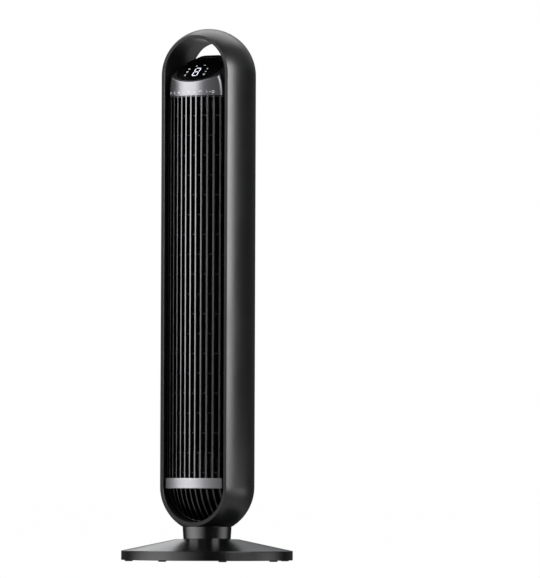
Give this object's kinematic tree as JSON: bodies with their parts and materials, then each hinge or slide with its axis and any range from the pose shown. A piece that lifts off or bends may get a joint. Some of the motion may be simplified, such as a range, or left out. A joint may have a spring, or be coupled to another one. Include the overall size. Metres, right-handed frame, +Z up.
{
  "type": "tower fan",
  "caption": "Oscillating tower fan: capsule-shaped body with a handle arch, slatted front grille and tilted display, on a neck that swivels in a round weighted base.",
  "frame": {"origin": "centre of the base at the level of the feet's undersides", "axes": "+Z up, -Y towards the front grille, +X to the right of the fan as seen from its front left"},
  "size_m": [0.298, 0.298, 0.925],
  "materials": {
    "shell_plastic": "satin moulded ABS",
    "black_plastic": "fine-grained moulded ABS",
    "grille_plastic": "semi-gloss moulded ABS",
    "gloss_black": "polished acrylic",
    "brushed_silver": "brushed metallised plastic",
    "display_white": "lit display segments",
    "steel": "machined",
    "zinc_plate": "zinc plated",
    "bronze": "sintered",
    "copper_wire": "enamelled wire",
    "acetal": "natural acetal",
    "rubber": "matt",
    "board": "solder mask",
    "wire_sheath": "PVC"
  },
  "bodies": {
    "stand": {"base_cover": "shell_plastic", "base_plate": "black_plastic", "base_weight": "steel", "base_feet": "rubber", "base_screws": "zinc_plate", "cord_gland": "rubber", "swivel_race": "steel", "stepper_motor": "zinc_plate", "stepper_screws": "zinc_plate"},
    "ball_race": {"ball_cage": "acetal", "swivel_balls": "steel"},
    "drive": {"drive_pinion": "acetal", "pinion_shaft": "steel"},
    "tower": {"turntable": "acetal", "stem_nut": "zinc_plate", "swivel_gear": "acetal", "neck": "black_plastic", "neck_screws": "zinc_plate", "outer_shell": "shell_plastic", "front_grille": "grille_plastic", "trim_band": "brushed_silver", "lower_blank": "black_plastic", "control_cap": "brushed_silver", "display_bezel": "gloss_black", "display_lens": "gloss_black", "digit_segments": "display_white", "status_icons": "display_white", "led_module": "black_plastic", "display_board": "board", "touch_board": "board", "saddle_cap": "black_plastic", "rear_grille": "black_plastic", "rear_grille_screws": "zinc_plate", "scroll_wall": "black_plastic", "tongue_wall": "black_plastic", "top_plate": "black_plastic", "bearing_mount": "rubber", "top_bearing": "bronze", "motor_plate": "black_plastic", "plate_screws": "zinc_plate", "motor_upper_can": "zinc_plate", "motor_lower_can": "zinc_plate", "motor_stator": "steel", "motor_windings": "copper_wire", "motor_bearings": "bronze", "motor_mounts": "rubber", "motor_screws": "zinc_plate", "control_board": "board", "board_parts": "black_plastic", "wiring_loom": "wire_sheath"},
    "rotor": {"impeller": "black_plastic", "impeller_pin": "steel", "shaft_coupling": "rubber", "motor_rotor": "steel"}
  },
  "joints": [
    {"name": "oscillation", "type": "hinge", "parent": "stand", "child": "tower", "pos_m": [0, 0, 0.021], "axis": [0, 0, 1], "range_deg": [-45, 45]},
    {"name": "ball_race_roll", "type": "hinge", "parent": "stand", "child": "ball_race", "pos_m": [0, 0, 0.0186], "axis": [0, 0, 1], "range_deg": [-22.5, 22.5]},
    {"name": "pinion_spin", "type": "hinge", "parent": "stand", "child": "drive", "pos_m": [0, 0.054, 0.023], "axis": [0, 0, 1], "range_deg": [-360, 360]},
    {"name": "impeller_spin", "type": "hinge", "parent": "tower", "child": "rotor", "pos_m": [0, 0.016, 0.17], "axis": [0, 0, 1], "continuous": true}
  ],
  "couplings": [
    {"joint": "ball_race_roll", "follows": "oscillation", "ratio": 0.5},
    {"joint": "pinion_spin", "follows": "oscillation", "ratio": -8}
  ]
}
